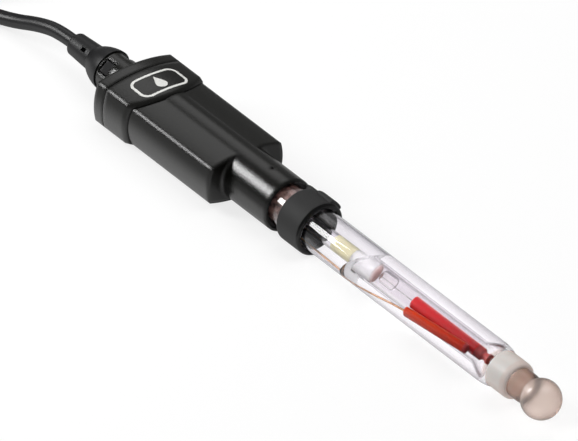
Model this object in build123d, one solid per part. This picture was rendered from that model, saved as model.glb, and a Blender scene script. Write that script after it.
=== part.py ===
from build123d import *
import math
import os

# A combination pH electrode lying on a bench: a black connector head, a clear glass shaft with a
# frosted junction ring and a glass ball at its tip, and a cable with a round meter plug.
# All sizes are in millimetres. While it is built, X runs along the shaft from the rim of the head's
# neck (X = 0) towards the ball, Z is up and the shaft's axis is Y = Z = 0. place() then moves
# everything so that the origin is at the bottom centre of the electrode, on the bench.

# Stations along X
BALL_TIP_X = 109.2
BALL_X = 103.75
STEM_FRONT_X = 97.6
RING_FRONT_X = 94.8
RING_REAR_X = 87.6
SHOULDER_X = 83.8
FLARE_FRONT_X = 85.4
FLARE_REAR_X = 79.4
SLEEVE_REAR_X = 3.9
SLEEVE_FRONT_X = 13.3
NECK_RIM_X = 0.0
WING_FRONT_X = -18.1
SHELL_ARCH_X = -48.2
SHELL_FRONT_X = -52.4
SHELL_REAR_X = -61.6
CAP_FRONT_X = -61.9
CAP_REAR_X = -65.8
HOOD_EDGE_X = -74.7
HOOD_REAR_X = -81.4
BOOT_REAR_X = -90.0

# Clearances
RUNNING_GAP = 0.05
SEAM = 0.01

# Shaft and tip radii. The stem and the ring keep their distance from the shaft's wall.
SHAFT_R = 6.0
SHAFT_WALL = 0.8
SHAFT_BORE_R = SHAFT_R - SHAFT_WALL
SHAFT_REAR_X = -14.0
INNER_R = 2.2
INNER_WALL = 0.5
INNER_BORE_R = INNER_R - INNER_WALL
STEM_GAP = 1.05
STEM_R = SHAFT_BORE_R - STEM_GAP
STEM_WALL = 0.7
STEM_TIP_DROP = 0.45
STEM_TIP_R = STEM_R - STEM_TIP_DROP
RING_STEP = 0.75
RING_R = SHAFT_R - RING_STEP
RING_NOSE_DROP = 0.65
RING_NOSE_R = RING_R - RING_NOSE_DROP
BALL_R = 5.45
BALL_WALL = 0.5

# Head
NECK_WALL = 1.65
NECK_R = SHAFT_R + NECK_WALL
WALL = 1.7
SHELL_EDGE_Y, SHELL_EDGE_Z, SHELL_CROWN, SHELL_SIDE = 12.0, 6.0, 7.75, 12.95
WING_INSET = 0.65
EDGE_FILLET = 0.7
SPIGOT_INSET = 0.95
HUB_R = 5.6
HUB_WALL = 1.4
HUB_BORE_R = HUB_R - HUB_WALL

# Sleeve and its fill hole
SLEEVE_BORE_R = SHAFT_R + RUNNING_GAP
SLEEVE_WALL = 1.55
SLEEVE_R = SLEEVE_BORE_R + SLEEVE_WALL
FILL_HOLE_X, FILL_HOLE_R = 8.6, 1.2

# Cable and plug
CABLE_R = 2.0
CABLE_LIFT = 0.1
PLUG_R = 7.4
NUT_GAP = 0.08

# Hank: the cable that is put away, two turns side by side, two high and one in the groove on top
HANK_X = -148.0
HANK_RUN = 48.0
HANK_INNER_R = 12.0
HANK_PITCH = 2 * CABLE_R + CABLE_LIFT
HANK_ROOM = 0.06
HANK_ROUND = 0.9 * CABLE_R
TIE_THICK, TIE_GAP, TIE_WIDTH = 0.5, 0.12, 8.0

AXIS_HEIGHT = SHELL_CROWN
MIDDLE_X = (BALL_TIP_X + BOOT_REAR_X) / 2
SIDE_ANGLE = 45.0
FLOOR_Z = -AXIS_HEIGHT
CABLE_Z = FLOOR_Z + CABLE_R + CABLE_LIFT
HANK_Z = CABLE_Z + TIE_THICK + TIE_GAP
HANK_MIDDLE_R = HANK_INNER_R + HANK_PITCH / 2
HANK_TOP_Z = HANK_Z + HANK_PITCH * (1 + math.sqrt(3) / 2)

parts = {}


def place(shape):
    """Moves a shape from the shaft's own frame to the part's frame."""
    return Pos(-MIDDLE_X, 0, AXIS_HEIGHT) * shape


def add(name, shape):
    """Keeps one finished sub-part under its node name."""
    parts[name] = place(shape)


def along_x(x, y=0.0, z=0.0):
    """A sketch plane at X = x whose normal is +X, with its own x along Y and its own y along Z."""
    return Plane(origin=(x, y, z), x_dir=(0, 1, 0), z_dir=(1, 0, 0))


def rod(x0, x1, r, y=0.0, z=0.0):
    """A round bar along X."""
    return extrude(along_x(x0, y, z) * Circle(r), amount=x1 - x0)


def ring(x0, x1, r_out, r_in, y=0.0, z=0.0):
    """A plain tube along X."""
    return rod(x0, x1, r_out, y, z) - rod(x0, x1, r_in, y, z)


def turned(*points):
    """A solid of revolution about the shaft's axis from (x, r) points joined by straight lines."""
    outline = Plane.XY * make_face(Polyline(*points, close=True))
    return revolve(outline, axis=Axis.X)


def side_point(across, near):
    """(y, z) of a point given along the two diagonals, up to the far side and up to the near side."""
    a = math.radians(SIDE_ANGLE)
    return across * math.cos(a) - near * math.sin(a), across * math.sin(a) + near * math.cos(a)


def spread(shape, angle):
    """Turns a shape that stands on the +Z side of the axis by an angle about the axis."""
    return Rot(angle, 0, 0) * shape


# Head sections

def shell_section(inset=0.0):
    """The head's outline across X: a crowned top and bottom and two bulging sides."""
    y, z = SHELL_EDGE_Y - inset, SHELL_EDGE_Z - inset
    top, flank = SHELL_CROWN - inset, SHELL_SIDE - inset
    outline = make_face([
        ThreePointArc((-y, z), (0, top), (y, z)),
        ThreePointArc((y, z), (flank, 0), (y, -z)),
        ThreePointArc((y, -z), (0, -top), (-y, -z)),
        ThreePointArc((-y, -z), (-flank, 0), (-y, z)),
    ])
    return fillet(outline.vertices(), EDGE_FILLET)


def wing_section(inset=0.0):
    """The wings' outline, one step inside the rear shell's."""
    return shell_section(WING_INSET + inset)


def prism(sketch, x0, x1):
    """A section pushed along X."""
    return extrude(along_x(x0) * sketch, amount=x1 - x0)


def behind_arch():
    """Everything behind the rear shell's bowed front edge, seen from above."""
    reach, deep = 1.6 * SHELL_EDGE_Y, 3.2 * SHELL_EDGE_Y
    bow = (SHELL_ARCH_X - SHELL_FRONT_X) / SHELL_EDGE_Y ** 2
    side_x = SHELL_ARCH_X - bow * reach ** 2
    edge = [(side_x, -reach), (SHELL_ARCH_X, 0), (side_x, reach)]
    back_x = SHELL_REAR_X - deep
    outline = make_face([
        ThreePointArc(*edge),
        Polyline(edge[2], (back_x, reach), (back_x, -reach), edge[0]),
    ])
    return extrude(outline, amount=deep, both=True)


CHAMFER_RUN, CHAMFER_DROP = 1.3, 0.5
OVERCUT = 1.0
WING_REAR_X = SHELL_FRONT_X - 0.2


def make_rear_shell():
    """The band behind the wings: bowed at the front, where it steps down to them by a chamfer."""
    shell = prism(shell_section(), SHELL_REAR_X, SHELL_ARCH_X + OVERCUT) & behind_arch()
    bow = shell.faces().filter_by(lambda f: f.center().X > SHELL_FRONT_X).sort_by(SortBy.AREA)[-1]
    shell = chamfer(bow.edges(), CHAMFER_DROP, CHAMFER_RUN, reference=bow)
    shell -= prism(wing_section(-SEAM), WING_REAR_X - SEAM, SHELL_ARCH_X + OVERCUT)
    inside = wing_section(SPIGOT_INSET - SEAM)
    return shell - prism(inside, SHELL_REAR_X - OVERCUT, SHELL_ARCH_X + OVERCUT)


NECK_CAVITY_X = WING_FRONT_X - WALL
NECK_REAR_X = SHELL_FRONT_X + 0.2
SPIGOT_REAR_X = -59.4
RIM_CHAMFER = 0.5
VENT_X, VENT_R = -7.4, 0.45
SEAL_THICK = 0.9
SEAL_R = SHAFT_R + SEAL_THICK
SEAL_REAR_X, SEAL_FRONT_X = -2.6, -0.9


def make_front_shell():
    """Wings, ridge and neck, moulded in one piece and hollow from behind."""
    wings = prism(wing_section(), WING_REAR_X, WING_FRONT_X)
    spigot = prism(wing_section(SPIGOT_INSET), SPIGOT_REAR_X, WING_REAR_X)
    neck = rod(NECK_REAR_X, NECK_RIM_X, NECK_R)
    neck = chamfer(neck.edges().filter_by(GeomType.CIRCLE).sort_by(Axis.X)[-1], RIM_CHAMFER)
    shell = wings + (neck - behind_arch()) + spigot
    shell -= prism(wing_section(SPIGOT_INSET + WALL), SPIGOT_REAR_X - OVERCUT, NECK_CAVITY_X)
    shell -= rod(NECK_CAVITY_X - OVERCUT, NECK_RIM_X + OVERCUT, SHAFT_R + SEAM)
    shell -= rod(SEAL_REAR_X, NECK_RIM_X + OVERCUT, SEAL_R)
    vent = Cylinder(VENT_R, NECK_R, align=(Align.CENTER, Align.CENTER, Align.MIN))
    return shell - Pos(VENT_X, 0, SHAFT_R - OVERCUT) * vent


CAP_FILLET = 0.5
WINDOW_REAR_X, WINDOW_FRONT_X, WINDOW_WIDTH = -74.0, -70.6, 4.2
HUB_REAR_X = -75.4
WINDOW_ANGLES = [SIDE_ANGLE + 90 * i for i in range(4)]


def window_cutter(x0, x1, width):
    """A box that stands on the +Z side of the axis, for one window."""
    return Pos((x0 + x1) / 2, 0, HUB_R) * Box(x1 - x0, width, HUB_R)


def make_end_cap():
    """The plate that closes the head, with its round hub and four latch windows."""
    plate = prism(shell_section(), CAP_REAR_X, CAP_FRONT_X)
    plate = fillet(plate.faces().sort_by(Axis.X)[0].edges(), CAP_FILLET)
    boss = prism(wing_section(SPIGOT_INSET), CAP_FRONT_X, SPIGOT_REAR_X)
    boss -= prism(wing_section(SPIGOT_INSET + WALL), CAP_FRONT_X, SPIGOT_REAR_X + OVERCUT)
    cap = plate + boss + rod(HUB_REAR_X, CAP_REAR_X + OVERCUT, HUB_R)
    cap -= rod(HUB_REAR_X - OVERCUT, CAP_FRONT_X + OVERCUT, HUB_BORE_R)
    for angle in WINDOW_ANGLES:
        cap -= spread(window_cutter(WINDOW_REAR_X, WINDOW_FRONT_X, WINDOW_WIDTH), angle)
    return cap


HOOD_GAP, HOOD_WALL, HOOD_BULGE = 0.08, 0.27, 2.6
HOOD_RECESS_R = HUB_R + HOOD_GAP
HOOD_R = HOOD_RECESS_R + HOOD_WALL
HOOD_MIDDLE_R = HOOD_R - 0.9
BOOT_FRONT_R, BOOT_REAR_R, BOOT_ROUND = 3.7, 3.25, 0.6
BARB_R = HUB_BORE_R - RUNNING_GAP
BARB_FRONT_X = -67.6
LATCH_RISE, LATCH_ROOM, LATCH_FOOT = 1.0, 0.6, 0.5
LATCH_R, LATCH_WIDTH = BARB_R + LATCH_RISE, WINDOW_WIDTH - LATCH_ROOM
LATCH_REAR_X, LATCH_FRONT_X = WINDOW_REAR_X + 0.3, WINDOW_FRONT_X - 0.1
SLOT_X, SLOT_LONG, SLOT_WIDE, SLOT_DEEP = -83.8, 1.6, 1.1, 1.3
CABLE_END_X = SLOT_X - 0.2


def make_boot():
    """Strain relief: a tapered tail, a domed hood over the hub and a latched sleeve inside it."""
    corner = BOOT_ROUND * (1 - math.sqrt(0.5))
    outline = Plane.XY * make_face([
        Line((BOOT_REAR_X, 0), (BOOT_REAR_X, BOOT_REAR_R - BOOT_ROUND)),
        ThreePointArc((BOOT_REAR_X, BOOT_REAR_R - BOOT_ROUND), (BOOT_REAR_X + corner, BOOT_REAR_R - corner),
                      (BOOT_REAR_X + BOOT_ROUND, BOOT_REAR_R)),
        Line((BOOT_REAR_X + BOOT_ROUND, BOOT_REAR_R), (HOOD_REAR_X, BOOT_FRONT_R)),
        ThreePointArc((HOOD_REAR_X, BOOT_FRONT_R), (HOOD_REAR_X + HOOD_BULGE, HOOD_MIDDLE_R),
                      (HOOD_EDGE_X, HOOD_R)),
        Polyline((HOOD_EDGE_X, HOOD_R), (HOOD_EDGE_X, HOOD_RECESS_R), (HUB_REAR_X, HOOD_RECESS_R),
                 (HUB_REAR_X, BARB_R), (BARB_FRONT_X, BARB_R), (BARB_FRONT_X, 0), (BOOT_REAR_X, 0)),
    ])
    boot = revolve(outline, axis=Axis.X)
    ramp = loft([
        along_x(LATCH_REAR_X, 0, BARB_R) * Rectangle(LATCH_WIDTH, 2 * LATCH_RISE),
        along_x(LATCH_FRONT_X, 0, BARB_R) * Rectangle(LATCH_WIDTH, 2 * RUNNING_GAP),
    ])
    for angle in WINDOW_ANGLES:
        boot += spread(ramp, angle)
    boot -= rod(CABLE_END_X, BARB_FRONT_X + OVERCUT, CABLE_R)
    slot = Pos(SLOT_X, 0, BOOT_FRONT_R) * Box(SLOT_LONG, SLOT_WIDE, 2 * SLOT_DEEP)
    return boot - spread(slot, SIDE_ANGLE)


# Glass shaft and tip

SHOULDER_BOW_X, SHOULDER_BOW_R = 2.4, 0.26
LIP_LONG, LIP_TURN_LONG, LIP_TURN_RISE = 0.8, 0.9, 0.6


def make_outer_tube():
    """The 12 mm shaft: open at the rear, drawn in at the front to meet the junction ring."""
    lip_in = STEM_R + RUNNING_GAP
    lip_x = RING_REAR_X - LIP_LONG
    outline = Plane.XY * make_face([
        Line((SHAFT_REAR_X, SHAFT_BORE_R), (SHAFT_REAR_X, SHAFT_R)),
        Line((SHAFT_REAR_X, SHAFT_R), (SHOULDER_X, SHAFT_R)),
        ThreePointArc((SHOULDER_X, SHAFT_R), (SHOULDER_X + SHOULDER_BOW_X, SHAFT_R - SHOULDER_BOW_R),
                      (RING_REAR_X, RING_R)),
        Line((RING_REAR_X, RING_R), (RING_REAR_X, lip_in)),
        Line((RING_REAR_X, lip_in), (lip_x, lip_in)),
        ThreePointArc((lip_x, lip_in), (lip_x - LIP_TURN_LONG, lip_in + LIP_TURN_RISE),
                      (SHOULDER_X, SHAFT_BORE_R)),
        Line((SHOULDER_X, SHAFT_BORE_R), (SHAFT_REAR_X, SHAFT_BORE_R)),
    ])
    tube = revolve(outline, axis=Axis.X)
    hole = Pos(FILL_HOLE_X, 0, SHAFT_R) * Cylinder(FILL_HOLE_R, 2 * SHAFT_WALL + OVERCUT)
    return tube - spread(hole, -SIDE_ANGLE)


INNER_REAR_X = -16.0
STEM_NOSE_BOW = 0.06


def tube_outline(r, flare_r, tip_r, x_end):
    """The inner tube's outer or inner line, from its rear end to the tip of the stem."""
    mid_x = (FLARE_REAR_X + FLARE_FRONT_X) / 2
    mid_r = (r + flare_r) / 2
    return [
        Line((INNER_REAR_X, r), (FLARE_REAR_X, r)),
        Spline((FLARE_REAR_X, r), (mid_x, mid_r), (FLARE_FRONT_X, flare_r), tangents=[(1, 0), (1, 0)]),
        Line((FLARE_FRONT_X, flare_r), (STEM_FRONT_X, flare_r)),
        ThreePointArc((STEM_FRONT_X, flare_r),
                      ((STEM_FRONT_X + x_end) / 2, (flare_r + tip_r) / 2 + STEM_NOSE_BOW), (x_end, tip_r)),
    ]


BALL_MOUTH_X = BALL_X - math.sqrt(BALL_R ** 2 - STEM_TIP_R ** 2)


def make_inner_tube():
    """The measuring tube: a thin tube that flares into the stem which carries the ball."""
    solids = []
    for r, flare_r, tip_r in [(INNER_R, STEM_R, STEM_TIP_R),
                              (INNER_BORE_R, STEM_R - STEM_WALL, STEM_TIP_R - BALL_WALL)]:
        line = tube_outline(r, flare_r, tip_r, BALL_MOUTH_X)
        outline = make_face(line + [Polyline((BALL_MOUTH_X, tip_r), (BALL_MOUTH_X, 0), (INNER_REAR_X, 0),
                                             (INNER_REAR_X, r))])
        solids.append(revolve(Plane.XY * outline, axis=Axis.X))
    return solids[0] - solids[1]


def make_bulb():
    """The glass ball, hollow and open to the stem."""
    ball = Pos(BALL_X, 0, 0) * (Sphere(BALL_R) - Sphere(BALL_R - BALL_WALL))
    return ball - rod(BALL_X - 2 * BALL_R, BALL_MOUTH_X, STEM_R + OVERCUT)


RING_NOSE_LONG, RING_NOSE_BOW_X, RING_NOSE_BOW_R = 1.6, 0.5, 0.2


def make_junction_ring():
    """The frosted ring between the shaft and the stem, through which the two sides meet."""
    nose = RING_FRONT_X - RING_NOSE_LONG
    seat = STEM_R + SEAM
    outline = Plane.XY * make_face([
        Polyline((nose, RING_R), (RING_REAR_X, RING_R), (RING_REAR_X, seat), (RING_FRONT_X, seat),
                 (RING_FRONT_X, RING_NOSE_R)),
        ThreePointArc((RING_FRONT_X, RING_NOSE_R), (RING_FRONT_X - RING_NOSE_BOW_X, RING_R - RING_NOSE_BOW_R),
                      (nose, RING_R)),
    ])
    return revolve(outline, axis=Axis.X)


SLEEVE_REAR_ROUND, SLEEVE_FRONT_ROUND = 1.1, 0.9
LUG_HEIGHT, LUG_WIDTH, LUG_ROUND = 0.8, 4.6, 0.45
LUG_REAR_X, LUG_FRONT_X = 6.6, 12.4
TAB_HEIGHT, TAB_WIDTH = 0.15, 3.4
TAB_REAR_X = 2.5
SLEEVE_ROOT = 0.6
LIP_STEP, LIP_DEEP = 0.3, 0.6


def sleeve_pad(x0, x1, width, r):
    """A pad with a round top that stands on the +Z side of the sleeve."""
    pad = Pos((x0 + x1) / 2, 0, 0) * Box(x1 - x0, width, 2 * r, align=(Align.CENTER, Align.CENTER, Align.MIN))
    return pad & ring(x0 - OVERCUT, x1 + OVERCUT, r, SLEEVE_BORE_R + SLEEVE_ROOT)


def make_fill_sleeve():
    """The rubber sleeve over the fill hole, with its finger lug and the low tab behind it."""
    rear = rod(SLEEVE_REAR_X, SLEEVE_FRONT_X, SLEEVE_R)
    rims = rear.edges().filter_by(GeomType.CIRCLE).sort_by(Axis.X)
    body = fillet(rims[0], SLEEVE_REAR_ROUND)
    rims = body.edges().filter_by(GeomType.CIRCLE).sort_by(Axis.X)
    body = fillet(rims[-1], SLEEVE_FRONT_ROUND)
    lug = sleeve_pad(LUG_REAR_X, LUG_FRONT_X, LUG_WIDTH, SLEEVE_R + LUG_HEIGHT)
    lug = fillet(lug.edges().filter_by(lambda e: e.center().Z > SLEEVE_R), LUG_ROUND)
    tab = sleeve_pad(TAB_REAR_X, LUG_REAR_X + OVERCUT, TAB_WIDTH, SLEEVE_R + TAB_HEIGHT)
    body += spread(lug, -SIDE_ANGLE) + spread(tab, -SIDE_ANGLE)
    body -= rod(TAB_REAR_X - OVERCUT, SLEEVE_FRONT_X + OVERCUT, SLEEVE_BORE_R)
    return body - rod(SLEEVE_FRONT_X - LIP_DEEP, SLEEVE_FRONT_X + OVERCUT, SLEEVE_BORE_R + LIP_STEP)


# Inside the shaft

RED_GAP = 0.55
RED_R = INNER_BORE_R - RED_GAP
RED_REAR_X, RED_FRONT_X, RED_ROUND = 53.4, 79.4, 0.5
FERRULE_R, FERRULE_LONG, FERRULE_RAMP, FERRULE_WAIST_R = 1.0, 0.4, 0.6, 0.75
FERRULE_STEP_X, FERRULE_FRONT_X = RED_FRONT_X + 2.2, 83.6
ORANGE_GAP = 0.27
ORANGE_R = (SHAFT_BORE_R - INNER_R) / 2 - 0.4
ORANGE_ORBIT = INNER_R + ORANGE_R + ORANGE_GAP
ORANGE_REAR_X, ORANGE_FRONT_X = 54.0, 78.4
ORANGE_REAR_ANGLE, ORANGE_FRONT_ANGLE = 136.7, 108.9
ORANGE_TIP_LONG, ORANGE_ROUND = 1.1, 0.4
PLUG_IN_REAR_X, PLUG_IN_FRONT_X = 20.5, 28.5
BUNG_REAR_X, BUNG_FRONT_X = -12.0, 3.0
INNER_BUNG_LONG = 4.0
WIRE_R = 0.25
BOARD_REAR_X, BOARD_FRONT_X = -56.5, -27.5
BOARD_SIDE_GAP, BOARD_THICK = 0.2, 1.2
BOARD_WIDTH = 2 * (min(SHELL_EDGE_Y, SHELL_SIDE) - WING_INSET - SPIGOT_INSET - WALL - BOARD_SIDE_GAP)
BOARD_TOP_Z = -WIRE_R
CHIP_LONG, CHIP_WIDE, CHIP_HIGH = 6.0, 5.0, 1.4
CHIP_PLACES = [(0.43, 0.2), (0.71, -0.23)]


def sweep_wire(points, r):
    """A round wire along straight runs with small arcs at its corners."""
    path = FilletPolyline(*points, radius=[bend_radius(points, i) for i in range(1, len(points) - 1)])
    return sweep(Plane(path @ 0, z_dir=path % 0) * Circle(r), path)


def bend_radius(points, i):
    """As large as the two runs beside a corner allow."""
    before, after = Vector(*points[i]) - Vector(*points[i - 1]), Vector(*points[i + 1]) - Vector(*points[i])
    turn = math.radians(before.get_angle(after))
    return 0.45 * min(before.length, after.length) / math.tan(turn / 2)


def around(x, orbit, angle):
    """A point at a distance from the axis, its angle taken from the far diagonal over the near one."""
    turn = math.radians(angle)
    return (x, *side_point(orbit * math.cos(turn), orbit * math.sin(turn)))


LANDING_X = BOARD_FRONT_X - 2.5
ORANGE_REAR = around(ORANGE_REAR_X, ORANGE_ORBIT, ORANGE_REAR_ANGLE)
ORANGE_FRONT = around(ORANGE_FRONT_X, ORANGE_ORBIT, ORANGE_FRONT_ANGLE)
# Each bend of the reference lead: its place along X, its gap to the shaft's bore and its angle
LEAD_BENDS = [
    (49.6, 1.46, 142.0),
    (41.0, 0.98, 159.0),
    (32.0, 0.46, 175.0),
    (14.0, 0.67, 186.0),
    (-8.0, 0.92, 172.0),
]
LANDING_SIDE = 0.19
LEAD_LANDING = (LANDING_X, -BOARD_WIDTH * LANDING_SIDE, BOARD_TOP_Z - BOARD_THICK - WIRE_R)
LEAD_POINTS = [around(x, SHAFT_BORE_R - gap, angle) for x, gap, angle in LEAD_BENDS]
REFERENCE_LEAD = [ORANGE_REAR] + LEAD_POINTS + [LEAD_LANDING]


def slanted_rod(start, end, r):
    """A round bar between two points."""
    line = end - start
    return extrude(Plane(origin=start, z_dir=line) * Circle(r), amount=line.length)


def make_cartridges():
    """The two red cells: one in the measuring tube and one beside it in the outer chamber."""
    measuring = rod(RED_REAR_X, RED_FRONT_X, RED_R)
    add("measuring_cell", fillet(measuring.edges().filter_by(GeomType.CIRCLE).sort_by(Axis.X)[0], RED_ROUND))
    collar_x = FERRULE_FRONT_X - FERRULE_LONG
    add("measuring_cell_tip", turned((RED_FRONT_X, 0), (RED_FRONT_X, RED_R), (FERRULE_STEP_X, RED_R),
                                     (FERRULE_STEP_X + FERRULE_RAMP, FERRULE_WAIST_R),
                                     (collar_x, FERRULE_WAIST_R), (collar_x, FERRULE_R),
                                     (FERRULE_FRONT_X, FERRULE_R), (FERRULE_FRONT_X, 0)))
    start, end = Vector(*ORANGE_REAR), Vector(*ORANGE_FRONT)
    joint = end - (end - start).normalized() * ORANGE_TIP_LONG
    cell = slanted_rod(start, joint, ORANGE_R)
    add("reference_cell", fillet(cell.edges().filter_by(GeomType.CIRCLE).sort_by(Axis.X)[0], ORANGE_ROUND))
    tip = slanted_rod(joint, end, ORANGE_R)
    rim = tip.edges().filter_by(GeomType.CIRCLE).sort_by(Axis.X)[-1]
    add("reference_cell_tip", fillet(rim, ORANGE_ROUND))


def make_leads():
    """The wire of each cell, back to the circuit board."""
    add("reference_lead", sweep_wire(REFERENCE_LEAD, WIRE_R))
    add("measuring_lead", rod(LANDING_X, RED_REAR_X, WIRE_R))


def make_fillings():
    """The plugs that close the rear ends of the two tubes, and the seal in the neck."""
    lead = sweep_wire(REFERENCE_LEAD, WIRE_R)
    bung = ring(BUNG_REAR_X, BUNG_FRONT_X, SHAFT_BORE_R, INNER_R + SEAM)
    add("shaft_bung", bung - lead)
    add("inner_plug", ring(PLUG_IN_REAR_X, PLUG_IN_FRONT_X, INNER_BORE_R, WIRE_R))
    add("inner_bung", ring(INNER_REAR_X, INNER_REAR_X + INNER_BUNG_LONG, INNER_BORE_R, WIRE_R))
    add("neck_seal", ring(SEAL_REAR_X, SEAL_FRONT_X, SEAL_R, SHAFT_R + SEAM))


def make_board():
    """The circuit board in the head with the parts soldered to it."""
    board = Pos((BOARD_REAR_X + BOARD_FRONT_X) / 2, 0, BOARD_TOP_Z - BOARD_THICK / 2) * Box(
        BOARD_FRONT_X - BOARD_REAR_X, BOARD_WIDTH, BOARD_THICK)
    add("circuit_board", board)
    length = BOARD_FRONT_X - BOARD_REAR_X
    chip = Pos(BOARD_REAR_X, 0, BOARD_TOP_Z + CHIP_HIGH / 2) * Box(CHIP_LONG, CHIP_WIDE, CHIP_HIGH)
    add("board_chips", Compound([Pos(length * along, BOARD_WIDTH * across, 0) * chip
                                 for along, across in CHIP_PLACES]))


CORE_R, CORE_ORBIT = 0.55, 1.05
CORE_COUNT, CORE_PITCH, CORE_SPREAD = 4, 3.6, 0.8
CORE_BEND_X, CORE_DROP_X, CORE_END_X = BARB_FRONT_X - 0.4, SPIGOT_REAR_X - 0.6, BOARD_REAR_X + 3.0


def make_cable_cores():
    """The cable's stripped cores, from the end of the jacket in the boot to the board."""
    cores = []
    for i in range(CORE_COUNT):
        turn = math.radians(45 + 360 / CORE_COUNT * i)
        y, z = CORE_ORBIT * math.cos(turn), CORE_ORBIT * math.sin(turn)
        end_y = CORE_PITCH * (i - (CORE_COUNT - 1) / 2)
        landing = BOARD_TOP_Z + CORE_R
        points = [
            (CABLE_END_X, y, z),
            (CORE_BEND_X, y, z),
            (CORE_DROP_X, end_y * CORE_SPREAD, landing + CORE_R / 3),
            (CORE_END_X, end_y, landing),
        ]
        cores.append(sweep_wire(points, CORE_R))
    add("cable_cores", Compound(cores))


# Cable, hank and plug. The cable's path is the first list below, then the hank's turns, then the tail.

PLUG_SETBACK = 15.0
PLUG_REAR_X = HANK_X - PLUG_SETBACK
PLUG_Y = -HANK_MIDDLE_R
PLUG_Z = HANK_TOP_Z + CABLE_R + HANK_ROOM + PLUG_R
CABLE_ROUTE = [
    (BOOT_REAR_X, 0.0, 0.0),
    (-97.0, 0.0, 0.0),
    (-104.2, -1.2, -1.4),
    (-111.8, -3.1, -4.0),
    (-119.8, -5.2, -5.4),
    (-127.0, -7.6, CABLE_Z),
    (-132.6, -10.8, HANK_Z),
    (-137.2, -14.4, HANK_Z),
]
# The tail: where it leaves the top turn, each point behind the loop and the share of the lift it has
TAIL_STARTS = [(22.0, 0.0), (14.0, 0.0), (5.0, 0.7)]
TAIL_LIFT = HANK_PITCH
TAIL_STEP = 30
TAIL_ANGLES = range(75, -76, -TAIL_STEP)
TAIL_REACH = HANK_MIDDLE_R / math.cos(math.radians(TAIL_STEP / 2))
TAIL_STRAIGHT = 6.0


def hank_point(angle, r, z):
    """A point of the hank's front loop, its angle counted from straight ahead towards +Y."""
    turn = math.radians(angle)
    return (HANK_X + r * math.cos(turn), r * math.sin(turn), z)


def tail_route():
    """The last stretch: off the top turn, round the front loop while it rises, and into the plug."""
    climb = PLUG_Z - HANK_TOP_Z - TAIL_LIFT
    route = [(HANK_X - back, HANK_MIDDLE_R, HANK_TOP_Z + TAIL_LIFT * share) for back, share in TAIL_STARTS]
    for i, angle in enumerate(TAIL_ANGLES):
        risen = TAIL_LIFT + climb * (i + 0.5) / len(TAIL_ANGLES)
        route.append(hank_point(angle, TAIL_REACH, HANK_TOP_Z + risen))
    return route + [(HANK_X - TAIL_STRAIGHT, PLUG_Y, PLUG_Z), (PLUG_REAR_X, PLUG_Y, PLUG_Z)]


def cable_tube(name, route):
    """The cable's plain round tube along one open stretch, up to the hank's outer shape."""
    radii = [bend_radius(route, i) for i in range(1, len(route) - 1)]
    print(name, "corner radii", [round(r, 1) for r in radii])
    return sweep_wire(route, CABLE_R)


def racetrack(r, z):
    """A turn's outline seen from above: two runs joined by half circles of radius r."""
    return Pos(HANK_X - HANK_RUN / 2, 0, z) * SlotCenterToCenter(HANK_RUN, 2 * r)


def make_hank(room=0.0):
    """The outer shape of the put-away cable: a block of four turns and the single turn on top of it."""
    bottom, reach = HANK_Z - CABLE_R - room, CABLE_R + room
    high = HANK_PITCH + 2 * reach
    block = extrude(racetrack(HANK_INNER_R + HANK_PITCH + reach, bottom), amount=high)
    block -= extrude(racetrack(HANK_INNER_R - reach, bottom), amount=high)
    rims = [e for e in block.edges() if e.bounding_box().size.Z < HANK_ROOM]
    block = fillet(rims, HANK_ROUND)
    path = racetrack(HANK_MIDDLE_R, HANK_TOP_Z).face().outer_wire()
    return block + sweep(Plane(path @ 0, z_dir=path % 0) * Circle(reach), path)


def make_tie():
    """The strap that holds the turns of one run together, and the plug on top of them."""
    rows = [(y, z) for y in (HANK_INNER_R, HANK_INNER_R + HANK_PITCH) for z in (HANK_Z, HANK_Z + HANK_PITCH)]
    inside, outside = [
        make_hull([(Pos(-y, z) * Circle(CABLE_R + grow)).edge() for y, z in rows]
                  + [(Pos(PLUG_Y, PLUG_Z) * Circle(PLUG_R + grow)).edge()])
        for grow in (TIE_GAP, TIE_GAP + TIE_THICK)]
    x = PLUG_REAR_X - (PLUG_TAPER_X + PLUG_FRONT_X) / 2
    return extrude(along_x(x - TIE_WIDTH / 2) * (outside - inside), amount=TIE_WIDTH)


# The plug's own stations, from the rear end of its tail
PLUG_TAPER_X, PLUG_FRONT_X = 14.0, 34.0
TAPER_R, TAPER_RISE, TAPER_LONG = 3.3, 1.1, 12.0
PLUG_SHOULDER, PLUG_NOSE = 1.2, 1.0
GRIP_COUNT, GRIP_DEEP, GRIP_WIDTH, GRIP_INSET = 12, 0.5, 1.2, 3.0
TAIL_GROOVES, TAIL_GROOVE_PITCH, TAIL_GROOVE_WIDTH, TAIL_GROOVE_DEEP = 3, 3.0, 1.0, 0.2
NUT_REAR_X, NUT_STEP_X, NUT_FRONT_X = 34.4, 41.4, 49.4
NUT_R, NUT_THREAD_R, NUT_SHROUD_R = 6.9, 6.0, 5.3
NUT_RIB_COUNT, NUT_RIB_R, NUT_RIB_LONG = 20, 0.35, 5.0
NUT_RIM, THREAD_RIM = 0.6, 0.5
INSERT_R, INSERT_LIP_R, INSERT_LIP_LONG, INSERT_ROOT = 4.9, 5.15, 0.5, 2.0
INSERT_FRONT_X, PIN_FRONT_X = 42.0, 48.4
PIN_R, PIN_ORBIT, PIN_COUNT, PIN_ROOT = 0.5, 2.6, 5, 4.0


def at_plug(shape):
    """Moves a shape that points along +X from the origin to the plug's place, where it points backwards."""
    return Pos(PLUG_REAR_X, PLUG_Y, PLUG_Z) * Rot(0, 0, 180) * shape


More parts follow.
